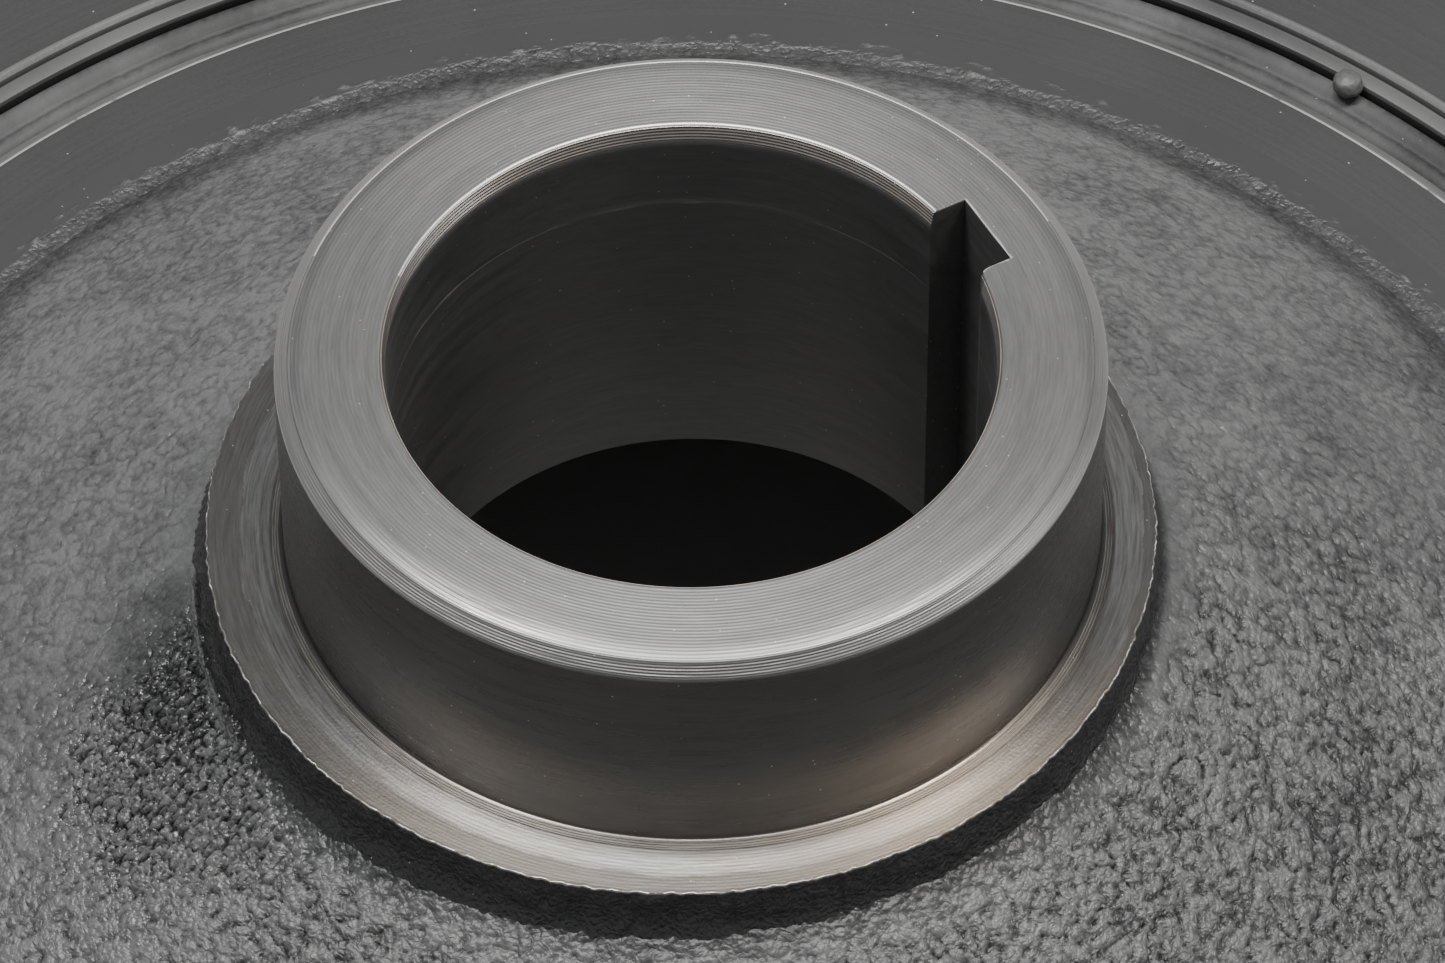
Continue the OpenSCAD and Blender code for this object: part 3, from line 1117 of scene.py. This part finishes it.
outer_sleeve = sleeve_piece("outer_sleeve_visual", "outer_sleeve", RUBBER_R + BOND_GAP, SLEEVE_R)
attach(outer_sleeve, "belt_ring")
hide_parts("outer_sleeve")


# Half section of the rubber's end, as shares of its width and heights over its plain level
RUBBER_DROP = 1.15
RUBBER_END = [
    (0.00, -0.10), (0.04, 0.02), (0.10, 0.16), (0.17, 0.26), (0.25, 0.30), (0.33, 0.25),
    (0.38, 0.10), (0.43, -0.04), (0.48, -0.08), (0.54, 0.02), (0.62, 0.18), (0.72, 0.30),
    (0.82, 0.36), (0.90, 0.34), (0.94, 0.26), (0.97, 0.05), (1.00, -0.20),
]


def rubber_piece():
    """The rubber between the sleeves, with moulded rings on its rear end."""
    theta, plain = even(900), even(450)
    front = bottom("damper_rubber") + 0.3
    width = RUBBER_R - INNER_SLEEVE_R
    shell = Shell()
    for share, h in RUBBER_END:
        r = INNER_SLEEVE_R + width * share
        p = on_circle(r, theta)
        wave = 0.025 * fbm(p, 4.0, 3, 71) + 0.012 * fbm(p, 0.8, 2, 72)
        shell.ring(r, REAR_Z - RUBBER_DROP + h + wave * (h > -0.1), theta, 0)
    shell.ring(RUBBER_R, front + 0.2, theta, 0)
    for share, h in RUBBER_END[-2:0:-1]:
        shell.ring(INNER_SLEEVE_R + width * share, front - h, plain, 0)
    shell.ring(INNER_SLEEVE_R, front + 0.2, plain, 0)
    return shell.build("damper_rubber_visual", [RUBBER], None)


def sphere_mesh(around, down):
    """Points and faces of a unit sphere."""
    points = [(0.0, 0.0, 1.0)]
    for j in range(1, down):
        a = math.pi * j / down
        for i in range(around):
            b = TURN * i / around
            points.append((math.sin(a) * math.cos(b), math.sin(a) * math.sin(b), math.cos(a)))
    points.append((0.0, 0.0, -1.0))
    last = len(points) - 1
    polys = []
    for i in range(around):
        n = (i + 1) % around
        polys.append((0, 1 + i, 1 + n))
        polys.append((last, last - around + n, last - around + i))
        for j in range(down - 2):
            a = 1 + j * around
            polys.append((a + i, a + around + i, a + around + n, a + n))
    return np.array(points), polys


def nub_piece():
    """The moulding nub: a small torn blob on the rubber, clear of the outer sleeve."""
    ball, polys = sphere_mesh(48, 30)
    p = ball * (0.85, 0.95, 0.90) * (1 + 0.12 * fbm(ball, 0.8, 3, 81))[:, None]
    p[:, 2] = np.where(p[:, 2] > 0.5, 0.5 + 0.5 * (p[:, 2] - 0.5), p[:, 2])
    p[:, :2] *= (1 - 0.25 * smooth_step(-p[:, 2], 0.1, 0.9))[:, None]
    z = REAR_Z + 0.02 + 1.05 * p[:, 2]
    in_recess = z < REAR_Z - 0.12
    r = np.minimum(64.15 + p[:, 0], np.where(in_recess, RUBBER_R - 0.02, SLEEVE_R - 0.6))
    x = r * math.cos(NUB_AZ) - p[:, 1] * math.sin(NUB_AZ)
    y = r * math.sin(NUB_AZ) + p[:, 1] * math.cos(NUB_AZ)
    slots = [0] * len(polys)
    return mesh_piece("damper_rubber_nub", np.stack([x, y, z], 1), polys, slots, [SLEEVE], None)


for rubber in (rubber_piece(), nub_piece()):
    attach(rubber, "hub")
    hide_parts("damper_rubber")


# ---- belt ring
RING_MATERIALS = [RIM_PAINT, RECESS_SHADE, EDGE, SLEEVE]
IN_PAINT, IN_SHADE, IN_WEAR, IN_HIGHLIGHT = range(4)
RING_EDGE = 0.7
FLANGE_ROUND = 0.5
NOTCH_AZ = math.radians(35)
NOTCH_DEPTH = math.sqrt(2)


def notched_outline():
    """Angles round the ring, close together at the timing notch, and the notch's depth at each."""
    close = np.array([-1.6, -1.0, -0.75, -0.5, -0.25, 0, 0.25, 0.5, 0.75, 1.0, 1.6])
    theta = np.sort(np.concatenate([even(600), NOTCH_AZ + close * NOTCH_DEPTH / RING_R]))
    theta = theta[np.concatenate([[True], np.diff(theta) > 1e-4])]
    return theta, np.maximum(0.0, NOTCH_DEPTH - np.abs(theta - NOTCH_AZ) * RING_R)


def ring_bore_path(shell, theta):
    """The bore, and the turned edge beside the outer sleeve, with painted shade in the gap by the sleeve
    and a painted highlight in lighter paint on the rounded edge.
    """
    bore = SLEEVE_R
    shell.ring(bore, FRONT_Z + RING_EDGE, theta, IN_PAINT)
    # Painted shade in the gap beside the outer sleeve
    shell.ring(bore, REAR_Z - RING_EDGE, theta, IN_SHADE)
    shell.path([(bore + 0.06, REAR_Z - 0.60), (bore + 0.20, REAR_Z - 0.34)], theta, IN_SHADE)
    # Painted highlight: lighter paint on the rounded edge
    light = [(bore + 0.34, REAR_Z - 0.20), (bore + 0.60, REAR_Z - 0.05), (bore + 0.68, REAR_Z)]
    shell.path(light, theta, IN_HIGHLIGHT)
    shell.ring(bore + 0.84, REAR_Z - 0.01, theta, IN_PAINT)


def rear_flange_rings(shell, theta, depth):
    """The rear face and the rounded edge of the rear flange, with the notch in it."""
    for r in np.linspace(SLEEVE_R + 1.0, RING_R - 3.2, 26):
        shell.ring(r, REAR_Z - 0.015 + 0.012 * fbm(on_circle(r, theta), 14.0, 2, 91), theta, IN_PAINT)
    shell.ring(RING_R - 2.0, REAR_Z, theta, IN_PAINT)
    cut = RING_R - depth
    shell.ring(np.minimum(RING_R - FLANGE_ROUND, cut), REAR_Z, theta, IN_WEAR)
    for r, z in arc(RING_R - FLANGE_ROUND, REAR_Z - FLANGE_ROUND, FLANGE_ROUND, 70, 0, 4):
        shell.ring(np.minimum(r, cut), z, theta, IN_WEAR if z > REAR_Z - 0.3 else IN_PAINT)
    shell.ring(cut, REAR_Z - 2, theta, IN_PAINT)
    shell.ring(RING_R, REAR_Z - 2.02, theta, IN_PAINT)


def belt_ring_piece():
    theta, depth = notched_outline()
    shell = Shell()
    ring_bore_path(shell, theta)
    rear_flange_rings(shell, theta, depth)
    for groove in ("rear_belt_groove", "front_belt_groove"):
        shell.path(groove_path(mounts[groove]["pos_m"][2] * PER_M), theta, IN_PAINT)
    shell.path(arc(RING_R - FLANGE_ROUND, FRONT_Z + FLANGE_ROUND, FLANGE_ROUND, 0, -90, 5), theta, IN_PAINT)
    for r in np.linspace(RING_R - 2, SLEEVE_R + 2, 8):
        shell.ring(r, FRONT_Z, theta, IN_PAINT)
    shell.ring(SLEEVE_R + RING_EDGE, FRONT_Z, theta, IN_PAINT)
    return shell.build("pulley_ring_visual", RING_MATERIALS, 40)


def groove_path(z):
    """Half section of a V groove about height z, from rear to front, with rounded corners."""
    half, depth, edge = 6.5, 13.0, 0.45
    slope = math.tan(math.radians(18))
    low = half - depth * slope
    side = [(RING_R, z + half + edge), (RING_R - 0.12, z + half + 0.12)]
    side += [(RING_R - edge, z + half - edge * slope)]
    for t in np.linspace(0.1, 0.92, 8):
        side.append((RING_R - depth * t, z + half - depth * t * slope))
    side += [(RING_R - depth + 0.35, z + low + 0.08), (RING_R - depth + 0.08, z + low - 0.15)]
    side += [(RING_R - depth, z + low - 0.5), (RING_R - depth, z)]
    return side + [(r, 2 * z - h) for r, h in side[-2::-1]]


belt_ring = belt_ring_piece()
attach(belt_ring, "belt_ring")
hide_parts("pulley_ring")


# ---- floor, light, camera
FLOOR_HALF = 1.6
FLOOR_GAP = 0.0002


def floor_piece():
    mesh = bpy.data.meshes.new("floor")
    z = cad_box[0].z - FLOOR_GAP
    corners = [(x * FLOOR_HALF, y * FLOOR_HALF, z) for x, y in ((-1, -1), (1, -1), (1, 1), (-1, 1))]
    mesh.from_pydata(corners, [], [(0, 1, 2, 3)])
    floor = put("floor", mesh)
    material, tree, shader = new_material("floor")
    pale = ramp(tree, noise(tree, 9.0, 2.0), [(0.3, 0.72), (0.7, 0.78)])
    feed(tree, shader, "Base Color", pale)
    shader.inputs["Roughness"].default_value = 0.7
    mesh.materials.append(material)


HUB_CENTRE = Vector((0, 0, HUB_TOP * MM))


def seen(right, away, up):
    """A direction or offset as the camera sees it: to the right, away, up."""
    c, s = math.cos(VIEW_TURN), math.sin(VIEW_TURN)
    return Vector((c * right - s * away, s * right + c * away, up))


def area_light(name, towards, distance, size, power, colour=(1, 1, 1)):
    """A rectangular light that faces the hub from the given direction."""
    data = bpy.data.lights.new(name, "AREA")
    data.shape = "RECTANGLE"
    data.size, data.size_y = size
    data.energy = power
    data.color = colour
    back = seen(*towards).normalized()
    across = (seen(1, 0, 0) - back * back.dot(seen(1, 0, 0))).normalized()
    turn = Matrix((across, back.cross(across), back)).transposed().to_4x4()
    put(name, data).matrix_world = Matrix.Translation(HUB_CENTRE + back * distance) @ turn


CAMERA_FROM_HUB = seen(1.68, -318.1, 354.5)
CAMERA_ELEVATION = 48.95
CAMERA_ROLL = 0.16
CAMERA_LENS = 220.3


def camera():
    data = bpy.data.cameras.new("camera")
    data.sensor_width = 36.0
    data.lens = CAMERA_LENS
    data.clip_start, data.clip_end = 0.01, 20.0
    elevation, roll = math.radians(CAMERA_ELEVATION), math.radians(CAMERA_ROLL)
    right = seen(1, 0, 0)
    forward = seen(0, math.cos(elevation), -math.sin(elevation))
    up = right.cross(forward)
    side = right * math.cos(roll) - up * math.sin(roll)
    over = right * math.sin(roll) + up * math.cos(roll)
    turn = Matrix((side, over, -forward)).transposed().to_4x4()
    cam = put("camera", data)
    cam.matrix_world = Matrix.Translation(HUB_CENTRE + CAMERA_FROM_HUB * MM) @ turn
    bpy.context.scene.camera = cam


def world():
    scene_world = bpy.data.worlds.new("studio")
    scene_world.use_nodes = True
    background = scene_world.node_tree.nodes["Background"]
    background.inputs["Color"].default_value = (0.9, 0.93, 1.0, 1.0)
    background.inputs["Strength"].default_value = 0.17
    bpy.context.scene.world = scene_world


floor_piece()
area_light("key", (0.0, 0.02, 1.0), 0.8, (0.24, 0.16), 3.6)
area_light("left_key", (-0.34, 0.02, 0.94), 0.8, (0.20, 0.16), 2.7)
area_light("right_key", (0.40, 0.04, 0.90), 0.8, (0.20, 0.16), 2.7, colour=(1.0, 0.97, 0.93))
area_light("far", (0.1, 1.0, 0.75), 0.9, (0.5, 0.3), 0.36)
area_light("right", (1.0, -0.1, 0.5), 0.9, (0.3, 0.3), 0.62)
camera()
world()
